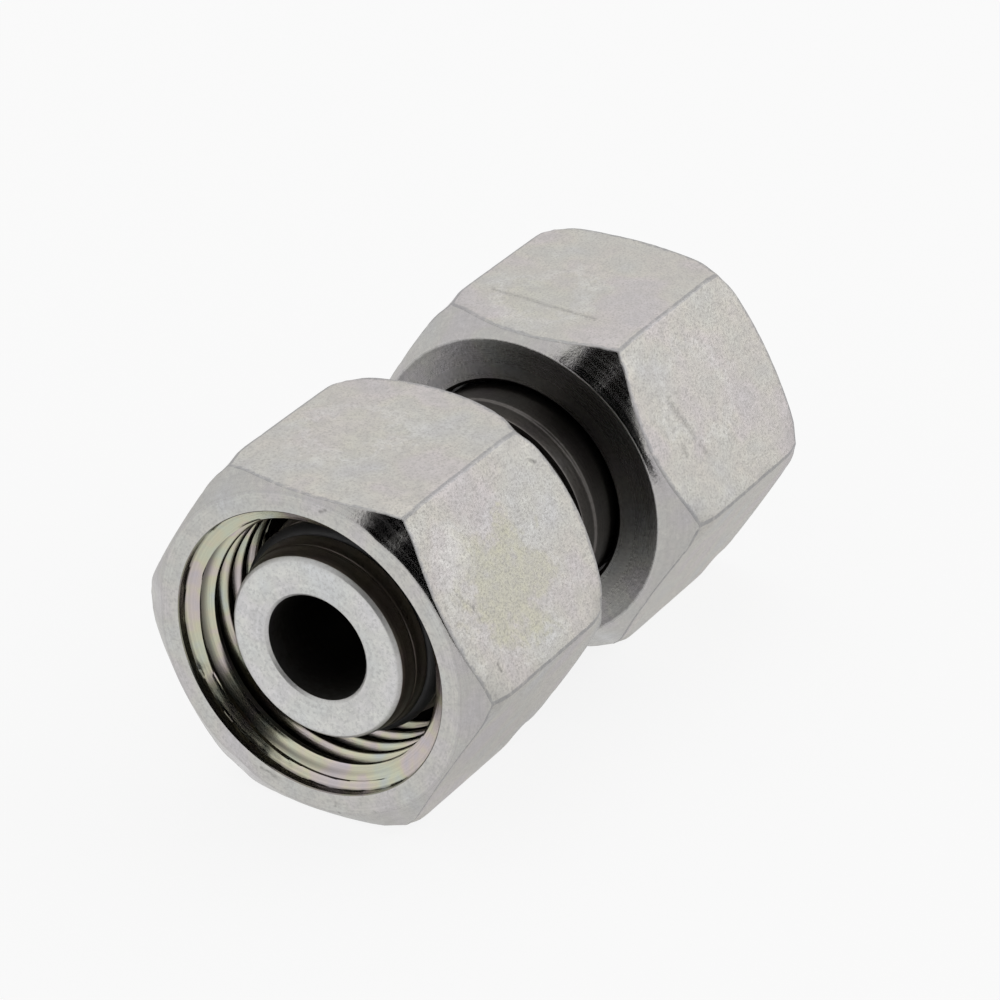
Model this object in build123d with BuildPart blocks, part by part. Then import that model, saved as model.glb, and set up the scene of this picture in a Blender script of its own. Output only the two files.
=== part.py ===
"""Straight compression fitting: a turned connector with a 24 degree cone nose at each end and two swivel nuts.

Millimetres. The flow bore runs along X through the origin, +Z is up and the nuts lie on their flats.
The two ends are the same assembly turned end for end, so each end piece is built from its own mouth inwards.
"""

from build123d import *
from math import cos, degrees, radians, tan
import os

# Thread and nut, a metric fine thread
thread_diameter = 18.0
thread_pitch = 1.5
thread_depth_share = 5 / 8
thread_flank_angle = 30.0
mouth_recess = 0.45
mouth_recess_depth = 0.65
mouth_cone_depth = 0.75
nut_wall = 2.0
nut_sides = 6
nut_length = 15.8
nut_corner_radius = 0.35
front_chamfer_angle = 30.0
front_face_inset = 0.2
rear_chamfer_angle = 45.0
rear_face_inset = 0.5
rear_bore_length = 4.9
rear_bore_edge = 0.25
relief_width = 1.6
relief_clearance = 0.15
nut_gap = 7.8

# Connector
bore_diameter = 7.0
bore_edge = 0.2
port_wall = 0.9
cone_half_angle = 12.0
cone_rise = 1.23
nose_edge = 0.2
nose_setback = 0.8
middle_land_width = 3.4
middle_land_step = 0.1
middle_groove_width = 0.9
middle_groove_depth = 0.4

# Seal ring and its groove
o_ring_section = 1.5
o_ring_proud = 0.27
o_ring_seat_clearance = 0.02
o_ring_side_clearance = 0.1
o_ring_groove_start = 2.2

# Retaining ring between nut and connector, a flat spring ring split at one place
ring_thickness = 1.2
ring_width = 1.3
ring_bite = 0.6
ring_opening = 2.5
ring_clearance = 0.05
ring_from_rear = 2.5
swivel_clearance = 0.2

# Worked out: the nut
flat_half_angle = radians(180 / nut_sides)
thread_radius = thread_diameter / 2
thread_height = thread_pitch / 2 / tan(radians(thread_flank_angle))
minor_radius = thread_radius - thread_depth_share * thread_height
mouth_radius = thread_radius + mouth_recess
relief_radius = thread_radius + relief_clearance
flat_radius = thread_radius + nut_wall
corner_radius = flat_radius / cos(flat_half_angle)
front_face_radius = flat_radius - front_face_inset
rear_face_radius = flat_radius - rear_face_inset
blank_radius = corner_radius + nut_wall

# Worked out: the connector
collar_radius = minor_radius - port_wall
nose_radius = collar_radius - cone_rise
cone_slope = tan(radians(cone_half_angle))
cone_length = cone_rise / cone_slope
overall_length = 2 * nut_length + nut_gap
body_length = overall_length - 2 * nose_setback
rear_bore_radius = collar_radius + swivel_clearance
seat_length = relief_radius - rear_bore_radius
seat_end = nut_length - rear_bore_length
seat_start = seat_end - seat_length
thread_end = seat_start - relief_width

# Worked out: the seal ring
o_ring_radius = o_ring_section / 2
o_ring_groove_width = o_ring_section + 2 * o_ring_side_clearance
o_ring_station = o_ring_groove_start + o_ring_groove_width / 2
cone_radius_at_ring = nose_radius + o_ring_station * cone_slope
o_ring_outer_radius = cone_radius_at_ring + o_ring_proud
o_ring_mean_radius = o_ring_outer_radius - o_ring_radius
o_ring_groove_bottom = o_ring_mean_radius - o_ring_radius - o_ring_seat_clearance

# Worked out: the retaining ring, sprung out into the nut and squeezed into the connector to assemble it
ring_outer_radius = rear_bore_radius + ring_bite
ring_mean_radius = ring_outer_radius - ring_width / 2
ring_channel_width = ring_thickness + 2 * ring_clearance
nut_channel_radius = ring_outer_radius + ring_clearance
collar_channel_radius = collar_radius - ring_width - ring_clearance
ring_station = nut_length - ring_from_rear
ring_open_angle = degrees(ring_opening / ring_mean_radius)


def mouth_plane(outward):
    """Return the plane of the nut's mouth, facing inwards along the axis."""
    place = outward * overall_length / 2
    return Plane(origin=(place, 0, 0), x_dir=(0, 1, 0), z_dir=(-outward, 0, 0))


def section_plane(outward):
    """Return the plane of a turned outline: x is the depth from the nut's mouth, y the radius."""
    place = outward * overall_length / 2
    return Plane(origin=(place, 0, 0), x_dir=(-outward, 0, 0), z_dir=(0, 0, -outward))


def cone_radius(depth):
    """Return the cone's radius a depth behind the nose face."""
    return nose_radius + depth * cone_slope


def build_connector():
    """Return the one-piece turned connector with its bore, cones, collar and grooves."""
    half = body_length / 2
    land = collar_radius - middle_land_step
    with BuildPart() as connector:
        with BuildSketch(Plane.XY):
            with BuildLine():
                Polyline(
                    (0, bore_diameter / 2),
                    (0, land),
                    (middle_land_width / 2, land),
                    (middle_land_width / 2 + middle_land_step, collar_radius),
                    (half - cone_length, collar_radius),
                    (half - nose_edge, cone_radius(nose_edge)),
                    (half, cone_radius(nose_edge) - nose_edge),
                    (half, bore_diameter / 2 + bore_edge),
                    (half - bore_edge, bore_diameter / 2),
                    close=True,
                )
            make_face()
            mirror(about=Plane.YZ)
        revolve(axis=Axis.X)
        with BuildSketch(Plane.XY):
            with Locations((0, collar_radius)):
                Rectangle(middle_groove_width, 2 * (middle_groove_depth + middle_land_step))
        revolve(axis=Axis.X, mode=Mode.SUBTRACT)
        for outward in (-1, 1):
            with BuildSketch(section_plane(outward)):
                with Locations((nose_setback + o_ring_station, o_ring_groove_bottom)):
                    Rectangle(o_ring_groove_width, o_ring_section * 2, align=(Align.CENTER, Align.MIN))
                with Locations((ring_station, collar_channel_radius)):
                    Rectangle(ring_channel_width, ring_width * 2, align=(Align.CENTER, Align.MIN))
            revolve(axis=Axis.X, mode=Mode.SUBTRACT)
    return connector.part


def build_nut(outward):
    """Return one union nut: hexagon bar turned at both ends, tapping bore, relief, seat and rear bore."""
    front_rise = (blank_radius - front_face_radius) * tan(radians(front_chamfer_angle))
    rear_rise = (blank_radius - rear_face_radius) * tan(radians(rear_chamfer_angle))
    with BuildPart() as nut:
        with BuildSketch(mouth_plane(outward)):
            RegularPolygon(flat_radius, nut_sides, major_radius=False)
        extrude(amount=nut_length)
        fillet(nut.edges().filter_by(Axis.X), nut_corner_radius)
        with BuildSketch(section_plane(outward)):
            with BuildLine():
                Polyline(
                    (0, 0),
                    (0, front_face_radius),
                    (front_rise, blank_radius),
                    (nut_length - rear_rise, blank_radius),
                    (nut_length, rear_face_radius),
                    (nut_length, 0),
                    close=True,
                )
            make_face()
        revolve(axis=Axis.X, mode=Mode.INTERSECT)
        with BuildSketch(section_plane(outward)):
            with BuildLine():
                Polyline(
                    (0, 0),
                    (0, mouth_radius),
                    (mouth_recess_depth, mouth_radius),
                    (mouth_recess_depth + mouth_cone_depth, minor_radius),
                    (thread_end, minor_radius),
                    (thread_end + relief_radius - minor_radius, relief_radius),
                    (seat_start, relief_radius),
                    (seat_end, rear_bore_radius),
                    (nut_length - rear_bore_edge, rear_bore_radius),
                    (nut_length, rear_bore_radius + rear_bore_edge),
                    (nut_length, 0),
                    close=True,
                )
            make_face()
            with Locations((ring_station, nut_channel_radius)):
                Rectangle(ring_channel_width, ring_width * 2, align=(Align.CENTER, Align.MAX))
        revolve(axis=Axis.X, mode=Mode.SUBTRACT)
    return nut.part


def build_o_ring(outward):
    """Return the seal ring in its groove on the cone."""
    with BuildPart() as ring:
        with BuildSketch(section_plane(outward)):
            with Locations((nose_setback + o_ring_station, o_ring_mean_radius)):
                Circle(o_ring_radius)
        revolve(axis=Axis.X)
    return ring.part


def build_retaining_ring(outward):
    """Return the split flat ring that lies half in the nut's channel and half in the connector's."""
    with BuildPart() as ring:
        with BuildSketch(section_plane(outward)):
            with Locations((ring_station, ring_mean_radius)):
                Rectangle(ring_thickness, ring_width)
        revolve(axis=Axis.X, revolution_arc=360 - ring_open_angle)
    return ring.part


def save(piece, label):
    """Name a finished piece and write it as its own file."""
    piece.label = label
    export_step(piece, f"parts/{label}.step")


os.makedirs("parts", exist_ok=True)
save(build_connector(), "connector_body")
for side, outward in (("left", -1), ("right", 1)):
    save(build_nut(outward), f"{side}_union_nut")
    save(build_o_ring(outward), f"{side}_o_ring")
    save(build_retaining_ring(outward), f"{side}_retaining_ring")
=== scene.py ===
"""Studio scene of a straight compression fitting: two swivel nuts on a turned connector, on a pale floor.

Meshes are made in millimetres, each nut in its own frame with the mouth at x = 0. They are placed in metres
at the end. Materials read their places in millimetres too, from the middle of the fitting.
"""

import logging
from dataclasses import dataclass, field
from enum import Enum
from math import atan2, cos, exp, pi, radians, sin, sqrt, tan
from typing import Iterable, Sequence

import bmesh
import bpy
from bmesh.types import BMEdge, BMesh, BMFace, BMVert
from mathutils import Matrix, Vector, noise


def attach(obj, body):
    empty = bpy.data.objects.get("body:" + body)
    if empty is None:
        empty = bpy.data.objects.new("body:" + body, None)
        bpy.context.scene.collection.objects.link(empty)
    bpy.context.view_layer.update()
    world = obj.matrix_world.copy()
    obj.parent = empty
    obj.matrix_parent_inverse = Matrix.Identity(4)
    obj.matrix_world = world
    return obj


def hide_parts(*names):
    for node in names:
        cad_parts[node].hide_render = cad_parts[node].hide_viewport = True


logging.basicConfig(level=logging.INFO, format="%(message)s")
log = logging.getLogger("fitting")

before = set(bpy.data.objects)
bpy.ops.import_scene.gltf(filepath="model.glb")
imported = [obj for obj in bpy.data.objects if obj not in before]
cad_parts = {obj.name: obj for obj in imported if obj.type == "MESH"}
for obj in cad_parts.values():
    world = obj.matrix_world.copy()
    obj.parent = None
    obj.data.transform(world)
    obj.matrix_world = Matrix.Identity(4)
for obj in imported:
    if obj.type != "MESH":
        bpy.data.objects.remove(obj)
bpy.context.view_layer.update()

MM = 0.001
AXIS = Vector((1.0, 0.0, 0.0))
Colour = tuple[float, float, float]
Point = tuple[float, float, float]
Corner = tuple[float, float]


def shade(colour: Colour, share: float) -> Colour:
    """Return a colour made darker, as a share of its light."""
    return tuple(channel * share for channel in colour)


class End(Enum):
    """Which end of the fitting a piece belongs to; the value is the outward direction along X."""

    LEFT = -1
    RIGHT = 1


class Skin(Enum):
    """The finishes on one nut, in the order of its material slots."""

    FLATS = 0
    TURNED = 1
    THREAD = 2
    INSIDE = 3
    REAR = 4
    CHAMFER = 5


class Zone(Enum):
    """The finishes on the connector, in the order of its material slots."""

    FACE = 0
    CONE = 1
    MIDDLE = 2
    BORE = 3


# Node trees


class Tree:
    """A small helper that adds nodes to one node tree and links them."""

    def __init__(self, tree: bpy.types.NodeTree) -> None:
        """Keep the tree and start from no nodes.

        Args:
            tree: the node tree of a material or of a node group.
        """
        self.tree = tree
        tree.nodes.clear()

    def add(self, kind: str, **values: object) -> bpy.types.Node:
        """Add one node.

        Args:
            kind: the node's type name.
            values: properties of the node, or input names and their values or sockets.

        Returns:
            The new node.
        """
        node = self.tree.nodes.new(kind)
        rest = {}
        for name, value in values.items():
            if hasattr(node, name) and name not in node.inputs:
                setattr(node, name, value)
            else:
                rest[name] = value
        for name, value in rest.items():
            self.feed(node.inputs[name], value)
        return node

    def feed(self, socket: bpy.types.NodeSocket, value: object) -> None:
        """Link a socket or set its value.

        Args:
            socket: the input that is fed.
            value: another node's output, or a plain value.
        """
        if isinstance(value, bpy.types.NodeSocket):
            self.tree.links.new(value, socket)
        elif isinstance(value, tuple) and len(value) == 3 and socket.type == "RGBA":
            socket.default_value = (*value, 1.0)
        else:
            socket.default_value = value

    def math(self, operation: str, *values: object, clamp: bool = False) -> bpy.types.NodeSocket:
        """Return the result of one number operation.

        Args:
            operation: the operation's name.
            values: its numbers, as sockets or values.
            clamp: whether the result stays between 0 and 1.

        Returns:
            The result's socket.
        """
        node = self.tree.nodes.new("ShaderNodeMath")
        node.operation = operation
        node.use_clamp = clamp
        for socket, value in zip(node.inputs, values):
            self.feed(socket, value)
        return node.outputs[0]

    def vector(self, operation: str, *values: object) -> bpy.types.NodeSocket:
        """Return the result of one vector operation.

        Args:
            operation: the operation's name.
            values: its vectors or numbers, in the order of the node's inputs.

        Returns:
            The result's socket.
        """
        node = self.tree.nodes.new("ShaderNodeVectorMath")
        node.operation = operation
        for socket, value in zip(node.inputs, values):
            self.feed(socket, value)
        return node.outputs["Value" if operation in ("LENGTH", "DOT_PRODUCT") else "Vector"]

    def mix(
        self, factor: object, first: object, second: object, blend: str = "MIX"
    ) -> bpy.types.NodeSocket:
        """Return a mix of two colours.

        Args:
            factor: the share of the second one.
            first: the first colour.
            second: the second colour.
            blend: how they mix.

        Returns:
            The mixed colour's socket.
        """
        node = self.tree.nodes.new("ShaderNodeMix")
        node.data_type = "RGBA"
        node.blend_type = blend
        self.feed(node.inputs["Factor"], factor)
        for name, value in (("A", first), ("B", second)):
            self.feed([s for s in node.inputs if s.name == name and s.type == "RGBA"][0], value)
        return [s for s in node.outputs if s.type == "RGBA"][0]

    def fade(self, mask: object, share: float, colour: object, target: object) -> bpy.types.NodeSocket:
        """Return a colour carried towards another one where a mask says, by a share at most."""
        return self.mix(self.math("MULTIPLY", mask, share), colour, target)

    def remap(
        self, value: object, low: float, high: float, to_low: float = 0.0, to_high: float = 1.0
    ) -> bpy.types.NodeSocket:
        """Carry a value smoothly from one range to another and hold it at the ends.

        Args:
            value: the value.
            low: where the first range starts.
            high: where the first range ends.
            to_low: what the first range's start becomes.
            to_high: what the first range's end becomes.

        Returns:
            The carried value's socket.
        """
        node = self.tree.nodes.new("ShaderNodeMapRange")
        node.interpolation_type = "SMOOTHSTEP"
        names = ("Value", "From Min", "From Max", "To Min", "To Max")
        for name, number in zip(names, (value, low, high, to_low, to_high)):
            self.feed(node.inputs[name], number)
        return node.outputs["Result"]

    def noise(
        self, vector: object, scale: object, detail: float = 3.0, roughness: float = 0.5, output: str = "Fac"
    ) -> bpy.types.NodeSocket:
        """Return soft noise around 0.5 at a vector, with its scale in cells per unit."""
        values = {"Vector": vector, "Scale": scale, "Detail": detail, "Roughness": roughness}
        return self.add("ShaderNodeTexNoise", **values).outputs[output]

    def seen_rays(self) -> bpy.types.NodeSocket:
        """Tell apart the rays that see the background from those that gather light.

        Returns:
            A socket that is 1 for the camera's rays and for those in metal or glass, and 0 for the rest.
        """
        rays = self.add("ShaderNodeLightPath").outputs
        mirrored = self.math("MAXIMUM", rays["Is Glossy Ray"], rays["Is Transmission Ray"])
        return self.math("MAXIMUM", rays["Is Camera Ray"], mirrored)

    def end_in(self, shader: bpy.types.Node, kind: str = "ShaderNodeOutputMaterial") -> None:
        """Link a shader to the tree's output, of a material or of the world."""
        self.feed(self.add(kind).inputs["Surface"], shader.outputs[0])


def new_group(
    name: str, inputs: dict[str, object], outputs: dict[str, str]
) -> tuple[bpy.types.NodeTree, Tree, dict, bpy.types.Node]:
    """Start a shader node group with named inputs and outputs.

    Args:
        name: the group's name.
        inputs: each input's name and its default value.
        outputs: each output's name and its socket type.

    Returns:
        The group, its helper, its inputs as sockets by name, and its output node.
    """
    group = bpy.data.node_groups.new(name, "ShaderNodeTree")
    for label, value in inputs.items():
        kind = "NodeSocketVector" if isinstance(value, tuple) else "NodeSocketFloat"
        socket = group.interface.new_socket(label, in_out="INPUT", socket_type=kind)
        socket.default_value = value
    for label, kind in outputs.items():
        group.interface.new_socket(label, in_out="OUTPUT", socket_type=kind)
    tree = Tree(group)
    source = tree.add("NodeGroupInput")
    sink = tree.add("NodeGroupOutput")
    return group, tree, {s.name: s for s in source.outputs if s.name}, sink


def group_millimetres() -> bpy.types.NodeTree:
    """Make the group that gives a place in millimetres, its radius from the bore's axis and its depth.

    Returns:
        The group.
    """
    group, tree, _, sink = new_group(
        "place_in_millimetres", {},
        {"Place": "NodeSocketVector", "Radius": "NodeSocketFloat", "Depth": "NodeSocketFloat"},
    )
    metres = tree.add("ShaderNodeTexCoord").outputs["Object"]
    place = tree.vector("MULTIPLY", metres, (1 / MM, 1 / MM, 1 / MM))
    parts = tree.add("ShaderNodeSeparateXYZ", Vector=place).outputs
    squares = [tree.math("MULTIPLY", part, part) for part in (parts[1], parts[2])]
    square = tree.math("ADD", *squares)
    tree.feed(sink.inputs["Place"], place)
    tree.feed(sink.inputs["Radius"], tree.math("SQRT", square))
    tree.feed(sink.inputs["Depth"], parts[0])
    return group


def group_grain() -> bpy.types.NodeTree:
    """Make the group of fine tumbled grain: a height, a speckle mask and slow cloudy patches.

    Returns:
        The group.
    """
    group, tree, given, sink = new_group(
        "tumbled_grain", {"Place": (0.0, 0.0, 0.0), "Scale": 6.0, "Seed": 0.0},
        {"Height": "NodeSocketFloat", "Speckle": "NodeSocketFloat", "Cloud": "NodeSocketFloat"},
    )
    shift = tree.add("ShaderNodeCombineXYZ", **{axis: given["Seed"] for axis in "XYZ"}).outputs[0]
    place = tree.vector("ADD", given["Place"], shift)
    fine = tree.noise(place, given["Scale"], 4.0, 0.62)
    pits = tree.add("ShaderNodeTexVoronoi", Vector=place, Scale=given["Scale"]).outputs["Distance"]
    cloud = tree.noise(place, 0.32, 3.0, 0.55)
    tree.feed(sink.inputs["Height"], tree.math("ADD", fine, tree.math("MULTIPLY", pits, 0.35)))
    tree.feed(sink.inputs["Speckle"], tree.remap(fine, 0.46, 0.66))
    tree.feed(sink.inputs["Cloud"], tree.remap(cloud, 0.38, 0.64))
    return group


def group_turning() -> bpy.types.NodeTree:
    """Make the group of lathe marks: fine rings by the radius on faces and by the depth on round walls.

    Returns:
        The group.
    """
    group, tree, given, sink = new_group(
        "turning_marks", {"Radius": 0.0, "Depth": 0.0, "Scale": 8.0, "Seed": 0.0},
        {"Height": "NodeSocketFloat", "Rings": "NodeSocketFloat"},
    )
    line = tree.add("ShaderNodeCombineXYZ", X=given["Radius"], Y=given["Depth"], Z=given["Seed"]).outputs[0]
    rings = tree.noise(line, given["Scale"], 5.0, 0.7)
    tree.feed(sink.inputs["Height"], rings)
    tree.feed(sink.inputs["Rings"], tree.remap(rings, 0.36, 0.66))
    return group


def group_wear() -> bpy.types.NodeTree:
    """Make the group that breaks up the mask of worn edges, which a mesh stores as edge_wear.

    Returns:
        The group.
    """
    group, tree, given, sink = new_group(
        "edge_wear", {"Place": (0.0, 0.0, 0.0), "Amount": 1.0}, {"Mask": "NodeSocketFloat"}
    )
    edge = tree.add("ShaderNodeAttribute", attribute_name="edge_wear").outputs["Fac"]
    broken = tree.noise(given["Place"], 2.4, 4.0, 0.6)
    mask = tree.math("ADD", edge, tree.math("MULTIPLY", tree.math("SUBTRACT", broken, 0.5), 1.9))
    mask = tree.remap(mask, 0.40, 1.05)
    tree.feed(sink.inputs["Mask"], tree.math("MULTIPLY", mask, given["Amount"], clamp=True))
    return group


def group_tint() -> bpy.types.NodeTree:
    """Make the group of the passivated plating's faint colours, from yellow through pink to blue grey.

    Returns:
        The group.
    """
    group, tree, given, sink = new_group(
        "plating_tint", {"Place": (0.0, 0.0, 0.0), "Scale": 0.25, "Strength": 0.5},
        {"Colour": "NodeSocketColor"},
    )
    film = tree.noise(given["Place"], given["Scale"], 2.0)
    ramp = tree.add("ShaderNodeValToRGB", Fac=film)
    stops = ramp.color_ramp.elements
    violet, blue = stops
    violet.position, violet.color = 0.30, (0.90, 0.84, 0.98, 1.0)
    blue.position, blue.color = 0.72, (0.84, 0.93, 1.0, 1.0)
    films = {0.42: (1.0, 0.90, 0.93, 1.0), 0.50: (1.0, 0.98, 0.80, 1.0), 0.60: (0.93, 1.0, 0.86, 1.0)}
    for thickness, colour in films.items():
        stops.new(thickness).color = colour
    tree.feed(sink.inputs["Colour"], tree.mix(given["Strength"], (1.0, 1.0, 1.0), ramp.outputs[0]))
    return group


def group_scratch() -> bpy.types.NodeTree:
    """Make the group of one scratch between two points on a piece, in millimetres.

    Returns:
        The group.
    """
    group, tree, given, sink = new_group(
        "scratch",
        {"Place": (0.0, 0.0, 0.0), "Start": (0.0, 0.0, 0.0), "Run": (1.0, 0.0, 0.0), "Width": 0.1},
        {"Mask": "NodeSocketFloat"},
    )
    wander = tree.noise(given["Place"], 0.9, 2.0, output="Color")
    wander = tree.vector("SUBTRACT", wander, (0.5, 0.5, 0.5))
    place = tree.vector("ADD", given["Place"], tree.vector("MULTIPLY", wander, (0.5, 0.5, 0.5)))
    along = tree.vector("SUBTRACT", place, given["Start"])
    reached = tree.vector("DOT_PRODUCT", along, given["Run"])
    whole = tree.vector("DOT_PRODUCT", given["Run"], given["Run"])
    share = tree.math("DIVIDE", reached, whole, clamp=True)
    nearest = tree.add("ShaderNodeVectorMath", operation="SCALE")
    tree.feed(nearest.inputs[0], given["Run"])
    tree.feed(nearest.inputs["Scale"], share)
    gap = tree.vector("LENGTH", tree.vector("SUBTRACT", along, nearest.outputs[0]))
    fade = tree.math("SUBTRACT", 1.0, tree.math("DIVIDE", gap, given["Width"]), clamp=True)
    broken = tree.remap(tree.noise(given["Place"], 4.0, 2.0), 0.3, 0.6, 0.35, 1.0)
    tree.feed(sink.inputs["Mask"], tree.math("MULTIPLY", fade, broken))
    return group


def group_patch() -> bpy.types.NodeTree:
    """Make the group of one worn or stained patch: an uneven blot and the pale ring round it.

    Returns:
        The group.
    """
    group, tree, given, sink = new_group(
        "worn_patch", {"Place": (0.0, 0.0, 0.0), "Middle": (0.0, 0.0, 0.0), "Reach": (1.0, 1.0, 1.0)},
        {"Blot": "NodeSocketFloat", "Ring": "NodeSocketFloat"},
    )
    near = tree.vector("DIVIDE", tree.vector("SUBTRACT", given["Place"], given["Middle"]), given["Reach"])
    ragged = tree.math("SUBTRACT", tree.noise(given["Place"], 0.5, 6.0, 0.65), 0.5)
    gap = tree.math("ADD", tree.vector("LENGTH", near), tree.math("MULTIPLY", ragged, 3.0))
    tree.feed(sink.inputs["Blot"], tree.remap(gap, 0.5, 1.0, 1.0, 0.0))
    off_ring = tree.math("ABSOLUTE", tree.math("SUBTRACT", gap, 1.05))
    ring = tree.math("SUBTRACT", 1.0, tree.math("MULTIPLY", off_ring, 4.0), clamp=True)
    tree.feed(sink.inputs["Ring"], ring)
    return group


@dataclass
class Effects:
    """The shared shader groups, each built once."""

    place: bpy.types.NodeTree = field(default_factory=group_millimetres)
    grain: bpy.types.NodeTree = field(default_factory=group_grain)
    turning: bpy.types.NodeTree = field(default_factory=group_turning)
    wear: bpy.types.NodeTree = field(default_factory=group_wear)
    tint: bpy.types.NodeTree = field(default_factory=group_tint)
    scratch: bpy.types.NodeTree = field(default_factory=group_scratch)
    patch: bpy.types.NodeTree = field(default_factory=group_patch)


# Finishes


MARK_COLOUR = (0.16, 0.155, 0.15)
MARK_DEPTH = 0.05


@dataclass(frozen=True)
class Scratch:
    """One dark scratch or nick, in millimetres on the fitting, with its shares of full depth and darkness."""

    start: Point
    stop: Point
    width: float
    depth: float
    dark: float


@dataclass(frozen=True)
class Patch:
    """One worn patch on a flat, in millimetres on the fitting, and its colour."""

    middle: Point
    reach: Point
    colour: Colour = (0.53, 0.52, 0.40)
    strength: float = 0.75


def use(tree: Tree, group: bpy.types.NodeTree, **values: object) -> bpy.types.bpy_prop_collection:
    """Place a shared group in a material.

    Args:
        tree: the material's helper.
        group: the shared group.
        values: its inputs by name.

    Returns:
        The group's outputs.
    """
    node = tree.add("ShaderNodeGroup")
    node.node_tree = group
    for name, value in values.items():
        tree.feed(node.inputs[name], value)
    return node.outputs


def start_material(name: str, colour: Colour) -> tuple[bpy.types.Material, Tree]:
    """Start a material with an empty node tree.

    Args:
        name: the material's name.
        colour: the colour that it has in a plain viewport.

    Returns:
        The material and its helper.
    """
    material = bpy.data.materials.new(name)
    material.use_nodes = True
    material.diffuse_color = (*colour, 1.0)
    return material, Tree(material.node_tree)


def blotches(tree: Tree, place: object) -> bpy.types.NodeSocket:
    """Return a mask of uneven blotches, each about two thirds of a millimetre wide."""
    return tree.remap(tree.noise(place, 1.5, 5.0, 0.7), 0.36, 0.66)


def add_marks(
    tree: Tree, effects: Effects, place: object, marks: Sequence[Scratch], colour: object, height: object
) -> tuple[object, object]:
    """Draw scratches and nicks into a colour and a height.

    Args:
        tree: the material's helper.
        effects: the shared groups.
        place: the place in millimetres.
        marks: the marks.
        colour: the colour so far.
        height: the height so far.

    Returns:
        The new colour and height.
    """
    for mark in marks:
        run = tuple(b - a for a, b in zip(mark.start, mark.stop))
        mask = use(tree, effects.scratch, Place=place, Start=mark.start, Run=run, Width=mark.width)["Mask"]
        colour = tree.fade(mask, mark.dark, colour, MARK_COLOUR)
        height = tree.math("SUBTRACT", height, tree.math("MULTIPLY", mask, mark.depth * MARK_DEPTH))
    return colour, height


def finish_material(
    tree: Tree, colour: object, roughness: object, height: object, metallic: float = 1.0
) -> None:
    """End a material in one Principled shader with a bumped normal.

    Args:
        tree: the material's helper.
        colour: the base colour.
        roughness: the roughness.
        height: the surface's height in millimetres.
        metallic: the metallic share, the same all over.
    """
    relief = tree.add("ShaderNodeBump", Strength=1.0, Distance=MM, Height=height)
    shader = tree.add("ShaderNodeBsdfPrincipled", Metallic=metallic, Roughness=roughness)
    tree.feed(shader.inputs["Base Color"], colour)
    tree.feed(shader.inputs["Normal"], relief.outputs[0])
    tree.end_in(shader)


@dataclass(frozen=True)
class TumbledSteel:
    """The nut's flats: drawn hexagon bar, tumbled and zinc plated, matt with fine grain and worn edges."""

    name: str
    colour: Colour = (0.56, 0.54, 0.525)
    worn: Colour = (0.25, 0.25, 0.26)
    halo: Colour = (0.70, 0.70, 0.69)
    roughness: float = 0.5
    grain_scale: float = 6.5
    grain_depth: float = 0.012
    speckle: float = 0.42
    wear: float = 0.66
    seed: float = 0.0
    marks: tuple[Scratch, ...] = ()
    patches: tuple[Patch, ...] = ()

    def material(self, effects: Effects) -> bpy.types.Material:
        """Build the finish as a material.

        Args:
            effects: the shared groups.

        Returns:
            The material.
        """
        material, tree = start_material(self.name, self.colour)
        place = use(tree, effects.place)["Place"]
        grain = use(tree, effects.grain, Place=place, Scale=self.grain_scale, Seed=self.seed)
        wear = use(tree, effects.wear, Place=place, Amount=1.0)["Mask"]
        tint = use(tree, effects.tint, Place=place, Scale=0.22, Strength=0.35)["Colour"]
        uneven = blotches(tree, place)
        colour = tree.mix(0.9, self.colour, tint, "MULTIPLY")
        for patch in self.patches:
            spot = use(tree, effects.patch, Place=place, Middle=patch.middle, Reach=patch.reach)
            colour = tree.fade(spot["Blot"], patch.strength, colour, patch.colour)
            colour = tree.fade(spot["Ring"], 0.35, colour, self.halo)
        colour = tree.fade(grain["Speckle"], self.speckle, colour, shade(self.colour, 0.60))
        colour = tree.fade(uneven, 0.5, colour, shade(self.colour, 0.76))
        colour = tree.fade(grain["Cloud"], 0.25, colour, shade(self.colour, 0.86))
        colour = tree.fade(wear, self.wear, colour, self.worn)
        rough = tree.math("ADD", self.roughness, tree.math("MULTIPLY", grain["Speckle"], 0.12))
        rough = tree.math("SUBTRACT", rough, tree.math("MULTIPLY", wear, 0.12))
        fine = tree.math("MULTIPLY", grain["Height"], self.grain_depth)
        height = tree.math("ADD", fine, tree.math("MULTIPLY", uneven, 0.01))
        colour, height = add_marks(tree, effects, place, self.marks, colour, height)
        finish_material(tree, colour, rough, height)
        return material


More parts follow.
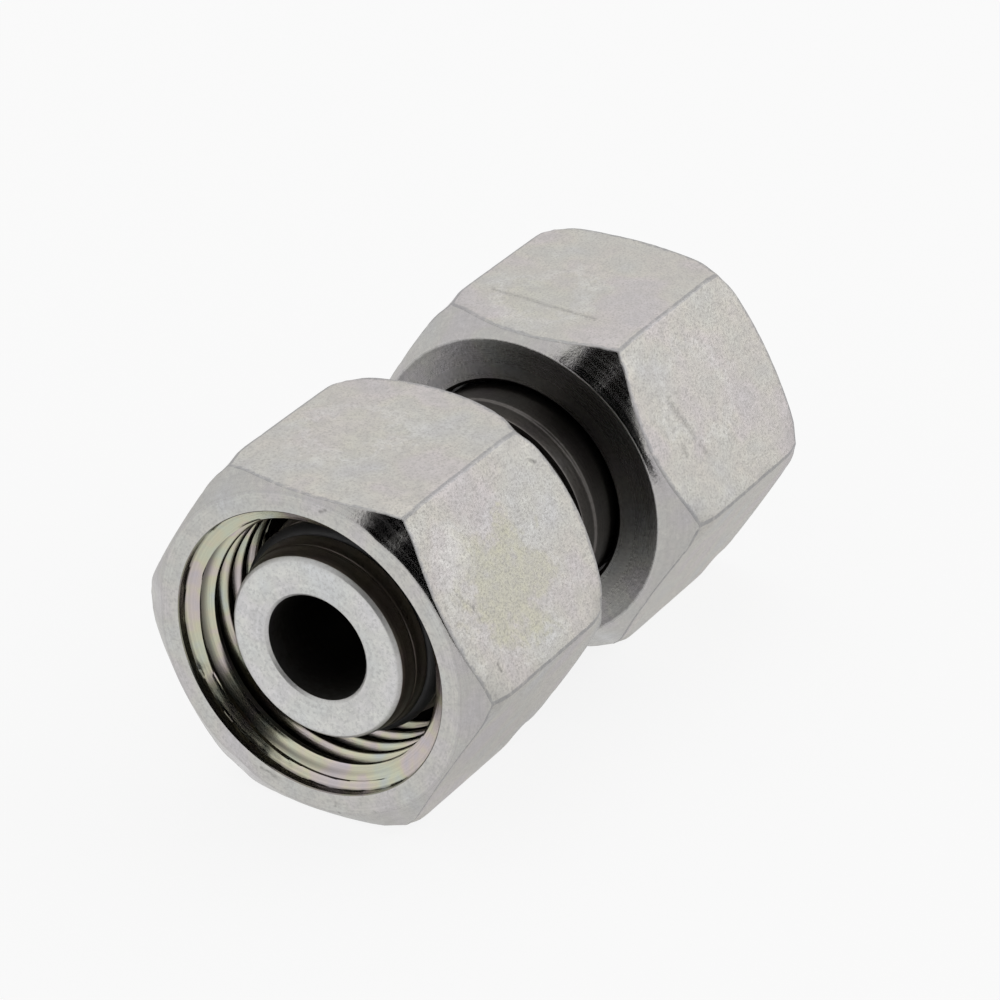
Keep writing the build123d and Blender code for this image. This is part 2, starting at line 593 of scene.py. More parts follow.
@dataclass(frozen=True)
class TurnedSteel:
    """A turned and plated face: satin, with fine rings from the tool, and grain where it was tumbled."""

    name: str
    colour: Colour
    roughness: float
    ring_scale: float = 7.0
    ring_depth: float = 0.006
    tint: float = 0.3
    grain: float = 0.5
    grain_depth: float = 0.012
    worn: Colour = (0.62, 0.61, 0.60)
    marks: tuple[Scratch, ...] = ()

    def material(self, effects: Effects) -> bpy.types.Material:
        """Build the finish as a material.

        Args:
            effects: the shared groups.

        Returns:
            The material.
        """
        material, tree = start_material(self.name, self.colour)
        at = use(tree, effects.place)
        place = at["Place"]
        grain = use(tree, effects.grain, Place=place, Scale=5.0, Seed=3.0)
        rings = use(tree, effects.turning, Radius=at["Radius"], Depth=at["Depth"], Scale=self.ring_scale)
        wear = use(tree, effects.wear, Place=place, Amount=0.8)["Mask"]
        tint = use(tree, effects.tint, Place=place, Scale=0.3, Strength=self.tint)["Colour"]
        colour = tree.mix(0.9, self.colour, tint, "MULTIPLY")
        colour = tree.fade(rings["Rings"], 0.25, colour, shade(self.colour, 0.7))
        colour = tree.fade(grain["Speckle"], 0.55 * self.grain, colour, shade(self.colour, 0.6))
        colour = tree.fade(blotches(tree, place), 0.45 * self.grain, colour, shade(self.colour, 0.74))
        colour = tree.fade(wear, 0.5, colour, self.worn)
        rough = tree.math("ADD", self.roughness, tree.math("MULTIPLY", rings["Rings"], 0.1))
        height = tree.math("MULTIPLY", rings["Height"], self.ring_depth)
        fine = tree.math("MULTIPLY", grain["Height"], self.grain_depth * self.grain)
        height = tree.math("ADD", height, fine)
        colour, height = add_marks(tree, effects, place, self.marks, colour, height)
        finish_material(tree, colour, rough, height)
        return material


@dataclass(frozen=True)
class CutThread:
    """The tapped thread and its mouth: bright flanks with strong films of passivated zinc, and painted shade
    in the roots.

    The painted shade darkens the roots between two radii, past the mouth's cone, and the recess at the mouth
    as well. Depths are measured from the middle of the fitting, so they serve both nuts.
    """

    name: str = "cut_thread"
    colour: Colour = (0.58, 0.565, 0.51)
    ring_colour: Colour = (0.35, 0.34, 0.32)
    # Painted shade for the thread's roots and for the recess at the mouth.
    painted_shade_colour: Colour = (0.07, 0.065, 0.06)
    roughness: float = 0.14
    ring_depth: float = 0.006
    root_shade_radii: tuple[float, float] = (8.38, 8.85)
    root_shade_fade_depths: tuple[float, float] = (18.3, 18.6)
    recess_shade_depths: tuple[float, float] = (18.95, 19.1)

    def material(self, effects: Effects) -> bpy.types.Material:
        """Build the finish as a material.

        Args:
            effects: the shared groups.

        Returns:
            The material.
        """
        material, tree = start_material(self.name, self.colour)
        at = use(tree, effects.place)
        rings = use(tree, effects.turning, Radius=at["Radius"], Depth=at["Depth"], Scale=5.0)
        tint = use(tree, effects.tint, Place=at["Place"], Scale=0.5, Strength=1.0)["Colour"]
        depth = tree.math("ABSOLUTE", at["Depth"])
        colour = tree.mix(1.0, self.colour, tint, "MULTIPLY")
        colour = tree.fade(rings["Rings"], 0.35, colour, self.ring_colour)
        # Painted shade: the roots darken between two radii, except in the mouth's cone, and the recess at the
        # mouth darkens as well.
        root = tree.remap(at["Radius"], *self.root_shade_radii)
        root = tree.math("MULTIPLY", root, tree.remap(depth, *self.root_shade_fade_depths, 1.0, 0.0))
        colour = tree.fade(root, 0.85, colour, self.painted_shade_colour)
        colour = tree.fade(tree.remap(depth, *self.recess_shade_depths), 0.62, colour, self.painted_shade_colour)
        rough = tree.math("ADD", self.roughness, tree.math("MULTIPLY", rings["Rings"], 0.12))
        finish_material(tree, colour, rough, tree.math("MULTIPLY", rings["Height"], self.ring_depth))
        return material


@dataclass(frozen=True)
class NitrileRubber:
    """Matt black nitrile rubber with a fine moulded grain."""

    name: str = "nitrile_rubber"
    colour: Colour = (0.028, 0.028, 0.03)
    bloom: Colour = (0.05, 0.05, 0.052)
    roughness: float = 0.5
    grain_depth: float = 0.006

    def material(self, effects: Effects) -> bpy.types.Material:
        """Build the finish as a material.

        Args:
            effects: the shared groups.

        Returns:
            The material.
        """
        material, tree = start_material(self.name, self.colour)
        grain = use(tree, effects.grain, Place=use(tree, effects.place)["Place"], Scale=9.0, Seed=7.0)
        colour = tree.fade(grain["Cloud"], 0.5, self.colour, self.bloom)
        rough = tree.math("ADD", self.roughness, tree.math("MULTIPLY", grain["Speckle"], 0.15))
        height = tree.math("MULTIPLY", grain["Height"], self.grain_depth)
        finish_material(tree, colour, rough, height, metallic=0.0)
        return material


# Mesh helpers


CRISP_FROM = radians(38.0)


def spin_outline(points: Sequence[Corner], steps: int, closed: bool) -> BMesh:
    """Turn an outline of depth and radius about the bore's axis.

    Args:
        points: the outline's corners, as depth and radius in millimetres.
        steps: the steps of a full turn.
        closed: whether the outline's last corner joins its first.

    Returns:
        The turned shell.
    """
    bm = bmesh.new()
    corners = [bm.verts.new((depth, radius, 0.0)) for depth, radius in points]
    pairs = list(zip(corners, corners[1:])) + ([(corners[-1], corners[0])] if closed else [])
    full_turn(bm, corners + [bm.edges.new(pair) for pair in pairs], steps)
    return bm


def full_turn(bm: BMesh, geometry: Sequence[BMVert | BMEdge], steps: int) -> None:
    """Spin geometry once round the bore's axis and merge the last step with the first."""
    bmesh.ops.spin(
        bm, geom=geometry, cent=(0, 0, 0), axis=AXIS, dvec=(0, 0, 0),
        angle=2 * pi, steps=steps, use_merge=True,
    )


def radius_of(vert: BMVert) -> float:
    """Return a vertex's distance from the bore's axis."""
    return sqrt(vert.co.y ** 2 + vert.co.z ** 2)


def angle_of(vert: BMVert) -> float:
    """Return a vertex's angle about the bore's axis, from +Y towards +Z, between 0 and a full turn."""
    return atan2(vert.co.z, vert.co.y) % (2 * pi)


def set_polar(vert: BMVert, depth: float, radius: float, angle: float) -> None:
    """Place a vertex by its depth, radius and angle."""
    vert.co = Vector((depth, radius * cos(angle), radius * sin(angle)))


def face_place(face: BMFace) -> Corner:
    """Return the depth and radius of a face's middle."""
    middle = face.calc_center_median()
    return middle.x, sqrt(middle.y ** 2 + middle.z ** 2)


def break_edges(bm: BMesh, edges: Iterable[BMEdge], width: float, segments: int) -> None:
    """Round off edges with the bevel operator and mark them as worn, in the attribute edge_wear.

    Args:
        bm: the mesh.
        edges: the edges to round.
        width: the bevel's width in millimetres.
        segments: its steps.
    """
    made = bmesh.ops.bevel(
        bm, geom=list(edges), offset=width, offset_type="OFFSET", segments=segments, profile=0.5,
        affect="EDGES", clamp_overlap=True, material=-1,
    )
    layer = bm.verts.layers.float.new("edge_wear")
    for face in made["faces"]:
        for vert in face.verts:
            vert[layer] = 1.0


def add_object(name: str, data: bpy.types.ID) -> bpy.types.Object:
    """Add one object to the scene.

    Args:
        name: the object's name.
        data: the mesh, lamp or camera that it holds.

    Returns:
        The object.
    """
    made = bpy.data.objects.new(name, data)
    bpy.context.scene.collection.objects.link(made)
    return made


def mesh_piece(
    bm: BMesh, name: str, place: Matrix, finishes: Sequence[bpy.types.Material]
) -> bpy.types.Object:
    """Turn a finished mesh into a piece at the origin, in metres.

    Args:
        bm: the mesh in millimetres.
        name: the piece's name.
        place: where it goes on the fitting, in millimetres.
        finishes: its materials.

    Returns:
        The new object.
    """
    bmesh.ops.remove_doubles(bm, verts=bm.verts, dist=0.0005)
    bmesh.ops.transform(bm, matrix=Matrix.Scale(MM, 4) @ place, verts=bm.verts)
    bmesh.ops.recalc_face_normals(bm, faces=bm.faces)
    mesh = bpy.data.meshes.new(name)
    bm.to_mesh(mesh)
    bm.free()
    mesh.shade_smooth()
    mesh.set_sharp_from_angle(angle=CRISP_FROM)
    for finish in finishes:
        mesh.materials.append(finish)
    piece = add_object(name, mesh)
    normals = piece.modifiers.new("flat_faces_stay_flat", "WEIGHTED_NORMAL")
    normals.keep_sharp = True
    log.info("%s: %d faces", name, len(mesh.polygons))
    return piece


# The pieces


@dataclass
class UnionNut:
    """One union nut, in millimetres: hexagon, chamfers, thread, relief, seat, ring channel and rear bore.

    Depths run from the mouth's face. The loops are rings of points that keep the faces' shading even.
    """

    end: End
    flat_radius: float = 11.0
    length: float = 15.8
    half_fitting: float = 19.7
    corner_rounding: float = 0.35
    blank_margin: float = 1.0
    front_face_radius: float = 10.8
    front_slope: float = tan(radians(30.0))
    front_loops: tuple[float, ...] = (9.68, 10.2, 10.62)
    rear_face_radius: float = 10.5
    rear_slope: float = tan(radians(45.0))
    rear_loops: tuple[float, ...] = (10.3, 9.3, 7.95)
    thread_radius: float = 9.0
    crest_radius: float = 8.188
    pitch: float = 1.5
    thread_lead: float = 1.6
    thread_turns: int = 8
    flank_shares: tuple[float, ...] = (0.2, 0.4, 0.6, 0.8, 0.94)
    crest_break: float = 0.03
    burr: float = 0.05
    burr_depths: tuple[float, float] = (0.45, 0.9)
    mouth_break: float = 0.06
    recess_radius: float = 9.45
    recess_depth: float = 0.65
    mouth_depth: float = 1.4
    thread_end: float = 7.64
    relief_start: float = 8.74
    relief_radius: float = 9.15
    seat_start: float = 9.24
    seat_end: float = 10.9
    rear_bore_radius: float = 7.488
    rear_bore_edge: float = 0.25
    channel_start: float = 12.65
    channel_end: float = 13.95
    channel_radius: float = 8.138
    rim_break: float = 0.09
    rim_reach: float = 3.0
    least_drop: float = 0.008
    wave_height: float = 0.010
    hollow_depth: float = 0.045
    dip_depth: float = 0.34
    dip_width: float = 0.95
    front_dip: float = 1.05
    rear_dip: float = 2.1
    steps: int = 240
    corner_steps: int = 4
    flat_stations: int = 30

    def ends(self, radius: float) -> tuple[float, float]:
        """Return the depths at which the front and the rear chamfer reach a radius."""
        front = (radius - self.front_face_radius) * self.front_slope
        return front, self.length - (radius - self.rear_face_radius) * self.rear_slope

    def corner_radius(self) -> float:
        """Return the radius of the hexagon's sharp corners."""
        return self.flat_radius / cos(pi / 6)

    def outline(self) -> list[Corner]:
        """Draw the turned outline from the mouth round the outside to the relief.

        Returns:
            Its corners, as depth and radius.
        """
        blank = self.corner_radius() + self.blank_margin
        front, rear = self.ends(blank)
        stations = [i / self.flat_stations for i in range(self.flat_stations + 1)]
        return [
            (self.mouth_break, self.recess_radius), (0.0, self.recess_radius + self.mouth_break),
            *[(0.0, radius) for radius in (*self.front_loops, self.front_face_radius)],
            *[(front + (rear - front) * share, blank) for share in stations],
            *[(self.length, radius) for radius in (self.rear_face_radius, *self.rear_loops)],
            (self.length, self.rear_bore_radius + self.rear_bore_edge),
            (self.length - self.rear_bore_edge, self.rear_bore_radius),
            (self.channel_end, self.rear_bore_radius), (self.channel_end, self.channel_radius),
            (self.channel_start, self.channel_radius), (self.channel_start, self.rear_bore_radius),
            (self.seat_end, self.rear_bore_radius),
            (self.seat_start, self.relief_radius), (self.relief_start, self.relief_radius),
        ]

    def corner_start(self) -> float:
        """Return the angle from the middle of a flat to where its rounded corner starts."""
        return atan2((self.flat_radius - self.corner_rounding) * tan(pi / 6), self.flat_radius)

    def crowd(self, angle: float) -> float:
        """Move an even angle so that the steps crowd round the six corners.

        Args:
            angle: the even angle.

        Returns:
            The crowded angle.
        """
        sector = pi / 3
        half = self.steps / 12
        index = angle / sector
        whole = int(index + 0.5)
        off = (index - whole) * 2 * half
        edge = pi / 6 - self.corner_start()
        size = abs(off)
        if size <= self.corner_steps:
            moved = edge * size / self.corner_steps
        else:
            moved = edge + (sector / 2 - edge) * (size - self.corner_steps) / (half - self.corner_steps)
        return whole * sector + (moved if off >= 0 else -moved)

    def hexagon_radius(self, angle: float) -> float:
        """Return the hexagon's radius at an angle, with its corners rounded.

        Args:
            angle: the angle about the bore's axis.

        Returns:
            The radius in millimetres.
        """
        off = abs((angle % (pi / 3)) - pi / 6)
        if off <= self.corner_start():
            return self.flat_radius / cos(off)
        centre = (self.flat_radius - self.corner_rounding) / cos(pi / 6)
        turn = pi / 6 - off
        return centre * cos(turn) + sqrt(self.corner_rounding ** 2 - (centre * sin(turn)) ** 2)

    def shell(self) -> BMesh:
        """Turn the nut's outside, ends and smooth bores, and press the hexagon.

        Returns:
            The shell, still open where the thread goes.
        """
        bm = spin_outline(self.outline(), self.steps, closed=False)
        blank = self.corner_radius() + self.blank_margin
        front, rear = self.ends(blank)
        for vert in bm.verts:
            radius = radius_of(vert)
            if radius < self.recess_radius + 0.1:
                continue
            angle = self.crowd(angle_of(vert))
            depth = vert.co.x
            if radius > blank - 0.01:
                share = (depth - front) / (rear - front)
                radius = self.hexagon_radius(angle)
                first, last = self.ends(radius)
                depth = first + share * (last - first)
            set_polar(vert, depth, radius, angle)
        return bm

    def rim_edges(self, bm: BMesh) -> list[BMEdge]:
        """Find the edges that tumbling has broken: the chamfers' rims and the faces' rims.

        Args:
            bm: the open shell.

        Returns:
            The edges.
        """
        found = []
        for edge in bm.edges:
            if len(edge.link_faces) != 2 or edge.calc_face_angle(0.0) < radians(12):
                continue
            first, second = edge.verts
            turned = abs(angle_of(first) - angle_of(second)) > 1e-5
            outside = min(radius_of(first), radius_of(second)) > self.rear_bore_radius + 0.1
            near_end = first.co.x < self.rim_reach or first.co.x > self.length - self.rim_reach
            if turned and outside and near_end and radius_of(first) > self.recess_radius + 0.2:
                found.append(edge)
        return found

    def limit_radius(self, depth: float) -> float:
        """Return the smallest radius that the recess, the mouth's cone and the run-out leave at a depth.

        Args:
            depth: the depth from the mouth's face.

        Returns:
            The radius in millimetres.
        """
        if depth < self.recess_depth:
            return self.recess_radius
        slope = (self.recess_radius - self.crest_radius) / (self.mouth_depth - self.recess_depth)
        cone = self.recess_radius - (depth - self.recess_depth) * slope
        run_out = min(self.crest_radius + depth - self.thread_end, self.relief_radius)
        return max(cone, run_out, self.crest_radius)

    def thread_form(self) -> list[Corner]:
        """Draw one pitch of the thread, from the middle of a root to the next.

        Returns:
            Its corners, as depth and radius.
        """
        rise = self.thread_radius - self.crest_radius
        flank = rise * tan(pi / 6)
        root = self.pitch / 16
        form = [(0.0, self.thread_radius), (root, self.thread_radius)]
        form += [(root + flank * share, self.thread_radius - rise * share) for share in self.flank_shares]
        form += [(root + flank + self.crest_break, self.crest_radius), (self.pitch / 2, self.crest_radius)]
        return form + [(self.pitch - depth, radius) for depth, radius in reversed(form[:-1])]

    def add_thread(self, bm: BMesh) -> None:
        """Cut the right-hand thread: one pitch is wound, repeated, trimmed and joined to the shell.

        Args:
            bm: the open shell.
        """
        shell = set(bm.verts)
        form = self.thread_form()
        corners = [bm.verts.new((depth - self.thread_lead, radius, 0.0)) for depth, radius in form]
        edges = [bm.edges.new(pair) for pair in zip(corners, corners[1:])]
        bmesh.ops.spin(
            bm, geom=corners + edges, cent=(0, 0, 0), axis=AXIS, dvec=(self.pitch / self.steps, 0, 0),
            angle=2 * pi, steps=self.steps, use_merge=False,
        )
        turn = [vert for vert in bm.verts if vert not in shell]
        faces = list({face for vert in turn for face in vert.link_faces})
        for count in range(1, self.thread_turns):
            copy = bmesh.ops.duplicate(bm, geom=faces)["geom"]
            moved = [item for item in copy if isinstance(item, BMVert)]
            bmesh.ops.translate(bm, verts=moved, vec=(self.pitch * count, 0, 0))
        burr_start, burr_end = self.burr_depths
        for vert in [vert for vert in bm.verts if vert not in shell]:
            depth = min(max(vert.co.x, self.mouth_break), self.relief_start)
            radius = max(radius_of(vert), self.limit_radius(depth))
            if burr_start < depth < burr_end:
                side = 1 if depth < self.recess_depth else -1
                radius += self.burr * max(0.0, noise.noise(vert.co * 2.3)) * side
            if depth != vert.co.x:
                radius = self.limit_radius(depth)
            set_polar(vert, depth, radius, angle_of(vert))
        bmesh.ops.remove_doubles(bm, verts=bm.verts, dist=0.001)

    def wear_down(self, bm: BMesh) -> None:
        """Give the flats a slight tumbled waviness and the edges and corners small hollows, all inwards.

        Args:
            bm: the closed nut.
        """
        layer = bm.verts.layers.float["edge_wear"]
        seed = Vector((5.3, 1.7, 9.1)) * (1 + self.end.value)
        for vert in bm.verts:
            radius = radius_of(vert)
            if radius < self.rear_face_radius - 0.6:
                continue
            angle = angle_of(vert)
            drop = self.least_drop + self.wave_height * (0.5 + 0.5 * noise.noise(vert.co * 0.45 + seed))
            if vert[layer] > 0.5 or radius > self.corner_radius() - 0.09:
                drop += self.hollow_depth * max(0.0, noise.noise(vert.co * 1.9 + seed)) ** 1.5
                vert[layer] = 1.0
            turn = abs((angle + pi / 6) % (pi / 3) - pi / 6) * radius
            for rim in (self.front_dip, self.length - self.rear_dip):
                gap = sqrt(turn ** 2 + (vert.co.x - rim) ** 2)
                drop += self.dip_depth * exp(-((gap / self.dip_width) ** 2))
            vert.co -= Vector((0.0, cos(angle), sin(angle))) * drop

    def dress(self, bm: BMesh) -> None:
        """Give each face its finish.

        Args:
            bm: the closed nut.
        """
        for face in bm.faces:
            depth, radius = face_place(face)
            lean = abs(face.normal.x)
            if radius > self.flat_radius - 0.25 and lean < 0.6:
                skin = Skin.FLATS
            elif radius > self.rear_face_radius and 0.6 < lean < 0.95:
                skin = Skin.CHAMFER
            elif depth < self.relief_start and radius < self.recess_radius + 0.04:
                skin = Skin.THREAD
            elif radius < self.relief_radius + 0.01 and depth < self.length - 0.01:
                skin = Skin.INSIDE
            elif depth > self.length - 0.05 and radius < self.rear_face_radius - 0.03:
                skin = Skin.REAR
            else:
                skin = Skin.TURNED
            face.material_index = skin.value

    def place(self) -> Matrix:
        """Return the move from the nut's own frame to its end of the fitting."""
        move = Matrix.Translation((self.end.value * self.half_fitting, 0, 0))
        return move if self.end is End.LEFT else move @ Matrix.Rotation(pi, 4, "Y")

    def build(self, finishes: Sequence[bpy.types.Material]) -> None:
        """Build the nut and put it in its node's place.

        Args:
            finishes: the materials in the order of Skin.
        """
        side = self.end.name.lower()
        bm = self.shell()
        break_edges(bm, self.rim_edges(bm), self.rim_break, 3)
        self.add_thread(bm)
        self.wear_down(bm)
        bmesh.ops.recalc_face_normals(bm, faces=bm.faces)
        self.dress(bm)
        nut = mesh_piece(bm, f"{side}_nut_finished", self.place(), finishes)
        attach(nut, f"{side}_nut")
        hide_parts(f"{side}_union_nut")


@dataclass
class Connector:
    """The turned connector, in millimetres: cones, seal grooves, ring channels, middle land and groove, bore.

    Depths run from its middle, apart from those on a cone, which run back from the nose's face.
    """

    half_length: float = 18.9
    bore_radius: float = 3.5
    bore_edge: float = 0.2
    bore_stations: int = 12
    collar_radius: float = 7.288
    nose_radius: float = 6.058
    nose_break: float = 0.2
    face_loops: tuple[float, float] = (3.9, 5.6)
    cone_slope: float = tan(radians(12.0))
    cone_length: float = 5.79
    line_start: float = 1.1
    line_end: float = 1.34
    line_depth: float = 0.04
    land_radius: float = 7.188
    land_half_width: float = 1.7
    land_step: float = 0.1
    groove_half_width: float = 0.45
    groove_radius: float = 6.788
    seal_groove_start: float = 2.2
    seal_groove_end: float = 3.9
    seal_groove_radius: float = 5.456
    channel_outer: float = 7.05
    channel_inner: float = 5.75
    channel_radius: float = 5.938
    collar_loops: tuple[float, float] = (3.6, 2.0)
    land_loops: tuple[float, float] = (1.5, 0.6)
    rim_break: float = 0.04
    steps: int = 192

    def on_cone(self, back: float, sunk: float = 0.0) -> Corner:
        """Return the point of the cone at a distance back from the nose's face, or sunk below it."""
        return self.half_length - back, self.nose_radius + back * self.cone_slope - sunk

    def outline(self) -> list[Corner]:
        """Draw the closed outline: the outside from right to left, and back along the bore.

        Returns:
            Its corners, as depth and radius.
        """
        half = self.half_length
        line = self.line_depth
        seal_start, seal_end = half - self.seal_groove_start, half - self.seal_groove_end
        right = [
            (half, self.bore_radius + self.bore_edge), *[(half, radius) for radius in self.face_loops],
            (half, self.nose_radius - self.nose_break), (half - self.nose_break, self.nose_radius),
            self.on_cone(2 * self.nose_break), self.on_cone(self.line_start),
            (half - self.line_start - line, self.on_cone(self.line_start, line)[1]),
            self.on_cone(self.line_end - line, line), self.on_cone(self.line_end),
            self.on_cone(self.seal_groove_start), (seal_start, self.seal_groove_radius),
            (seal_end, self.seal_groove_radius), self.on_cone(self.seal_groove_end),
            (half - self.cone_length, self.collar_radius),
            (self.channel_outer, self.collar_radius), (self.channel_outer, self.channel_radius),
            (self.channel_inner, self.channel_radius), (self.channel_inner, self.collar_radius),
            *[(depth, self.collar_radius) for depth in self.collar_loops],
            (self.land_half_width + self.land_step, self.collar_radius),
            (self.land_half_width, self.land_radius),
            *[(depth, self.land_radius) for depth in (*self.land_loops, self.groove_half_width)],
            (self.groove_half_width, self.groove_radius),
        ]
        left = [(-depth, radius) for depth, radius in reversed(right)]
        start = self.bore_edge - half
        step = 2 * (half - self.bore_edge) / self.bore_stations
        return right + left + [(start + step * i, self.bore_radius) for i in range(self.bore_stations + 1)]

    def rim_edges(self, bm: BMesh) -> list[BMEdge]:
        """Find the crisp edges that run round the connector, to be broken.

        Args:
            bm: the turned connector.

        Returns:
            The edges.
        """
        found = []
        for edge in bm.edges:
            first, second = edge.verts
            same_depth = abs(first.co.x - second.co.x) < 0.001
            same_radius = abs(radius_of(first) - radius_of(second)) < 0.001
            if same_depth and same_radius and edge.calc_face_angle(0.0) > radians(20):
                found.append(edge)
        return found

    def dress(self, bm: BMesh) -> None:
        """Give each face its finish.

        Args:
            bm: the turned connector.
        """
        for face in bm.faces:
            depth, radius = face_place(face)
            if radius < self.bore_radius + 0.06:
                zone = Zone.BORE
            elif abs(depth) > self.half_length - self.nose_break - 0.02:
                zone = Zone.FACE
            elif abs(depth) > self.half_length - self.cone_length:
                zone = Zone.CONE
            else:
                zone = Zone.MIDDLE
            face.material_index = zone.value

    def build(self, finishes: Sequence[bpy.types.Material]) -> None:
        """Build the connector and put it in its node's place.

        Args:
            finishes: the materials in the order of Zone.
        """
        bm = spin_outline(self.outline(), self.steps, closed=True)
        break_edges(bm, self.rim_edges(bm), self.rim_break, 2)
        self.dress(bm)
        connector = mesh_piece(bm, "connector_finished", Matrix.Identity(4), finishes)
        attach(connector, "connector")
        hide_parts("connector_body")


@dataclass
class SealRing:
    """One seal ring in its groove on the cone, in millimetres."""

    end: End
    station: float = 15.85
    mean_radius: float = 6.226
    section: float = 1.5
    section_steps: int = 28
    steps: int = 160

    def build(self, finish: bpy.types.Material) -> None:
        """Build the ring and put it in its node's place.

        Args:
            finish: its material.
        """
        side = self.end.name.lower()
        middle = (self.end.value * self.station, self.mean_radius, 0.0)
        bm = bmesh.new()
        bmesh.ops.create_circle(bm, cap_ends=False, segments=self.section_steps, radius=self.section / 2)
        bmesh.ops.translate(bm, verts=bm.verts, vec=middle)
        full_turn(bm, bm.verts[:] + bm.edges[:], self.steps)
        ring = mesh_piece(bm, f"{side}_seal_finished", Matrix.Identity(4), [finish])
        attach(ring, "connector")
        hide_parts(f"{side}_o_ring")


# The studio


@dataclass(frozen=True)
class Camera:
    """The camera at the photograph's viewing angle, in millimetres and degrees."""

    azimuth: float = 31.8114
    elevation: float = 29.6842
    right_offset: float = -1.0788
    down_offset: float = 0.9702
    distance: float = 280.0
    lens: float = 160.118
    sensor: float = 36.0

    def build(self) -> None:
        """Make the camera and set it as the scene's own."""
        az, el = radians(self.azimuth), radians(self.elevation)
        ahead = Vector((cos(el) * cos(az), cos(el) * sin(az), -sin(el)))
        right = Vector((sin(az), -cos(az), 0.0))
        down = ahead.cross(right)
        data = bpy.data.cameras.new("camera")
        data.lens = self.lens
        data.sensor_width = self.sensor
        data.clip_start = 0.01
        data.clip_end = 20.0
        camera = add_object("camera", data)
        camera.location = -(ahead * self.distance + right * self.right_offset + down * self.down_offset) * MM
        camera.rotation_euler = ahead.to_track_quat("-Z", "Y").to_euler()
        bpy.context.scene.camera = camera


@dataclass(frozen=True)
class Studio:
    """A pale floor, two soft lamps, a white background and two black cards for reflections, in metres."""

    floor_height: float = -0.011
    floor_size: float = 3.0
    floor_colour: Colour = (0.86, 0.86, 0.86)
    floor_glow: float = 0.86
    card_colour: Colour = (0.004, 0.004, 0.004)
    card_size: Corner = (0.62, 0.70)
    card_azimuth: float = 203.0
    card_distance: float = 0.50
    ceiling_size: Corner = (0.50, 0.50)
    ceiling_place: Point = (-0.25, -0.30, 0.72)
    sky: float = 0.62

    def build(self) -> None:
        """Make the floor, the lamps, the cards and the world."""
        self.add_floor()
        self.add_lamp("overhead", (0.15, 0.12, 0.55), 0.50, 0.4)
        self.add_lamp("side", (0.40, -0.35, 0.30), 0.40, 0.5)
        upright = Matrix.Rotation(pi / 2, 4, "Z") @ Matrix.Rotation(pi / 2, 4, "X")
        height = self.card_size[1] / 2 + self.floor_height
        stand = Matrix.Rotation(radians(self.card_azimuth), 4, "Z")
        stand = stand @ Matrix.Translation((self.card_distance, 0.0, height))
        self.add_card("dark_card", self.card_size, stand @ upright)
        self.add_card("dark_ceiling", self.ceiling_size, Matrix.Translation(self.ceiling_place))
        self.add_world()

    def add_sheet(
        self, name: str, size: Corner, place: Matrix, material: bpy.types.Material
    ) -> bpy.types.Object:
        """Add one flat sheet that isn't part of the object.

        Args:
            name: the sheet's name.
            size: its width and height in metres.
            place: where it lies, stands or hangs.
            material: its material.

        Returns:
            The sheet.
        """
        bm = bmesh.new()
        bmesh.ops.create_grid(bm, x_segments=1, y_segments=1, size=0.5)
        bmesh.ops.scale(bm, verts=bm.verts, vec=(*size, 1.0))
        bmesh.ops.transform(bm, matrix=place, verts=bm.verts)
        mesh = bpy.data.meshes.new(name)
        bm.to_mesh(mesh)
        bm.free()
        mesh.materials.append(material)
        sheet = add_object(name, mesh)
        return sheet

    def add_card(self, name: str, size: Corner, place: Matrix) -> None:
        """Set up a black card on the camera's side, for the metal's reflections alone.

        Args:
            name: the card's name.
            size: its width and height in metres.
            place: where it stands or hangs.
        """
        material, tree = start_material("black_card", self.card_colour)
        tree.end_in(tree.add("ShaderNodeBsdfDiffuse", Color=self.card_colour))
        card = self.add_sheet(name, size, place, material)
        card.visible_camera = False
        card.visible_diffuse = False
        card.visible_shadow = False
        card.visible_transmission = False

    def add_floor(self) -> None:
        """Make the floor: white to the camera and to metal, with a soft shadow left on it."""
        material, tree = start_material("floor_paper", self.floor_colour)
        paper = tree.add("ShaderNodeBsdfDiffuse", Color=self.floor_colour)
        white = tree.add("ShaderNodeEmission", Color=(1.0, 1.0, 1.0), Strength=1.0)
        blend = tree.add("ShaderNodeMixShader")
        share = tree.math("MULTIPLY", tree.seen_rays(), self.floor_glow)
        for socket, value in zip(blend.inputs, (share, paper.outputs[0], white.outputs[0])):
            tree.feed(socket, value)
        tree.end_in(blend)
        level = Matrix.Translation((0, 0, self.floor_height))
        self.add_sheet("floor", (self.floor_size, self.floor_size), level, material)

    def add_lamp(self, name: str, place: Point, size: float, watts: float) -> None:
        """Add one soft square lamp that points at the fitting.

        Args:
            name: the lamp's name.
            place: where it hangs.
            size: its width.
            watts: its power.
        """
        data = bpy.data.lights.new(name, "AREA")
        data.size = size
        data.energy = watts
        lamp = add_object(name, data)
        lamp.location = place
        lamp.rotation_euler = (-Vector(place)).to_track_quat("-Z", "Y").to_euler()

    def add_world(self) -> None:
        """Make the world: white to the camera and to metal, a soft grey studio to everything else."""
        world = bpy.data.worlds.new("studio")
        bpy.context.scene.world = world
        world.use_nodes = True
        tree = Tree(world.node_tree)
        strength = tree.math("ADD", self.sky, tree.math("MULTIPLY", tree.seen_rays(), 1.0 - self.sky))
        back = tree.add("ShaderNodeBackground", Color=(1.0, 1.0, 1.0), Strength=strength)
        tree.end_in(back, "ShaderNodeOutputWorld")


# The marks, the finishes and the order of work


